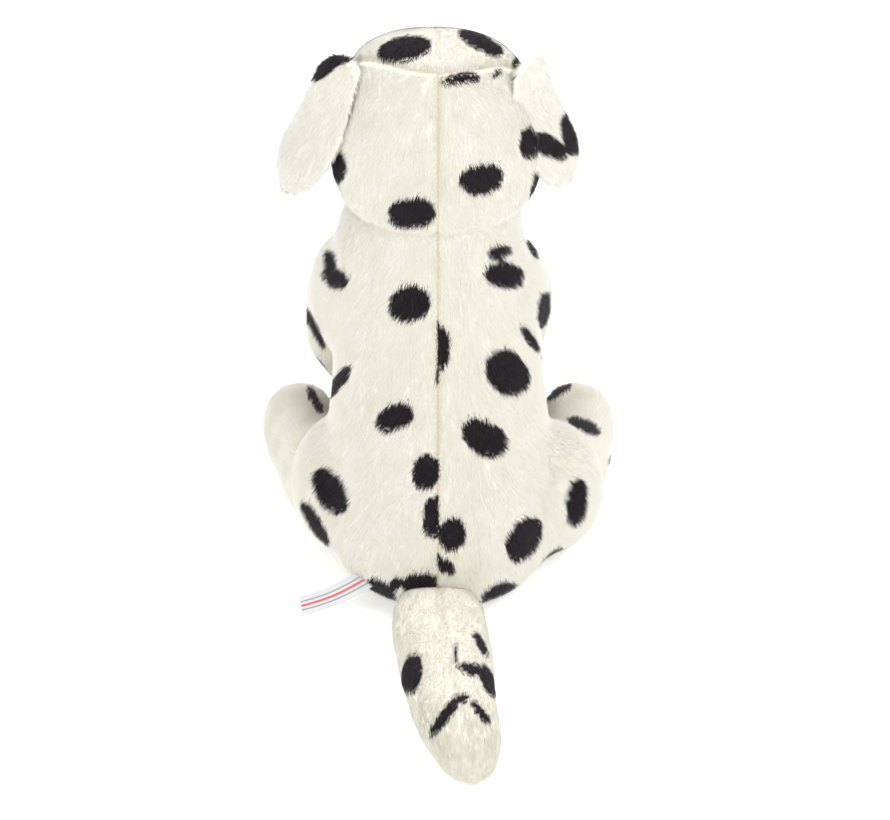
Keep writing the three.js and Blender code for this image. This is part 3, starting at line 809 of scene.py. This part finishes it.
for side, k in SIDES.items():
    dome = mirrored(ball(*EYE, pile=0, points=64), k)
    firm(f"eye_{side}_dome", dome, f"eye_{side}", "head", [PLASTIC])
nose_verts, nose_faces = ball(*NOSE, pile=0, points=64)
nose_verts[:, 0] *= 1 + 0.035 * (nose_verts[:, 2] - NOSE[0][2])  # wider above than below
firm("nose_button", (nose_verts, nose_faces), "nose", "head", [PLASTIC])
firm("mouth_thread", tube(MOUTH_LINE, 0.95), "mouth_stitch", "head", [THREAD])

LABEL = {  # from its inner upper corner: along the ribbon, and across it at the seam and at the tip
    "corner": (40, 66.8, 20.6), "run": (32.7, 8.4, -12), "across": ((-6, 9.4, -4), (-2, 11.4, -3)),
    "sag": 2.2, "thick": 0.5,
}
# which of the strips across the ribbon are coloured
STRIPES = {6: GREY, 7: GREY, 11: RED, 12: RED, 13: RED, 17: GREY, 18: GREY}
ALONG, ACROSS = 28, 24  # strips along and across the ribbon


def ribbon():
    """A blank woven ribbon, sagging a little, as a closed sheet of strips."""
    n, m = ALONG, ACROSS
    u, v = np.meshgrid(np.linspace(0, 1, n + 1), np.linspace(0, 1, m + 1), indexing="ij")
    u, v = u[..., None], v[..., None]
    root, tip = (np.array(w) for w in LABEL["across"])
    mid = LABEL["corner"] + np.array(LABEL["run"]) * u + (root + (tip - root) * u) * v
    mid[..., 2] -= LABEL["sag"] * np.sin(np.pi * u[..., 0])
    half = np.array([0, 0, LABEL["thick"] / 2])
    verts = np.concatenate([(mid + half).reshape(-1, 3), (mid - half).reshape(-1, 3)])
    low = (n + 1) * (m + 1)

    def top(i, j):
        return i * (m + 1) + j

    faces, strip = [], []
    for i in range(n):
        for j in range(m):
            quad = (top(i, j), top(i + 1, j), top(i + 1, j + 1), top(i, j + 1))
            faces += [quad, tuple(low + q for q in reversed(quad))]
            strip += [j, j]
    rim = [top(i, 0) for i in range(n + 1)] + [top(n, j) for j in range(1, m + 1)]
    rim += [top(i, m) for i in range(n - 1, -1, -1)] + [top(0, j) for j in range(m - 1, 0, -1)]
    for a, b in zip(rim, rim[1:] + rim[:1]):
        faces.append((b, a, low + a, low + b))
        strip.append(0)
    return (verts, faces), strip


ribbon_form, strips = ribbon()
label = firm("ribbon", ribbon_form, "label_ribbon", "label", [SATIN, RED, GREY])
paints = [SATIN, RED, GREY]
for polygon, strip in zip(label.data.polygons, strips):
    polygon.material_index = paints.index(STRIPES.get(strip, SATIN))


# ---------------------------------------------------------------- stage
FLOOR = 6000  # half width, mm
corners = [(-FLOOR, -FLOOR, 0), (FLOOR, -FLOOR, 0), (FLOOR, FLOOR, 0), (-FLOOR, FLOOR, 0)]
floor = mesh_of("floor", corners, [(0, 1, 2, 3)])
paper = fabric("paper", (0.93, 0.93, 0.93), 0.8, 0)
paper_inputs = paper.node_tree.nodes["Principled BSDF"].inputs
paper_inputs["Emission Color"].default_value = (1, 1, 1, 1)
paper_inputs["Emission Strength"].default_value = 0.3
floor.data.materials.append(paper)

world = bpy.data.worlds.new("studio")
bpy.context.scene.world = world
world.use_nodes = True
world.node_tree.nodes["Background"].inputs[0].default_value = (1, 1, 1, 1)
world.node_tree.nodes["Background"].inputs[1].default_value = 1.19


def softbox(name, where, size, power):
    light = bpy.data.lights.new(name, "AREA")
    light.size, light.energy = size, power
    obj = bpy.data.objects.new(name, light)
    bpy.context.scene.collection.objects.link(obj)
    obj.location = where
    obj.rotation_euler = (Vector((0, 0.04, 0.1)) - Vector(where)).to_track_quat("-Z", "Y").to_euler()


softbox("key", (-1.1, 0.9, 1.9), 1.1, 17)
softbox("fill", (1.6, 0.6, 1.2), 1.6, 6)

camera = bpy.data.cameras.new("camera")
view = bpy.data.objects.new("camera", camera)
bpy.context.scene.collection.objects.link(view)
look_at = Vector(LOOK_AT * MM)
view.location = Vector((LOOK_AT + DISTANCE * TOWARDS) * MM)
view.rotation_euler = (look_at - view.location).to_track_quat("-Z", "Y").to_euler()
camera.sensor_width = 36
camera.lens = 36 * DISTANCE / 463
camera.clip_end = 30
bpy.context.scene.camera = view
bpy.context.scene.view_settings.view_transform = "Standard"
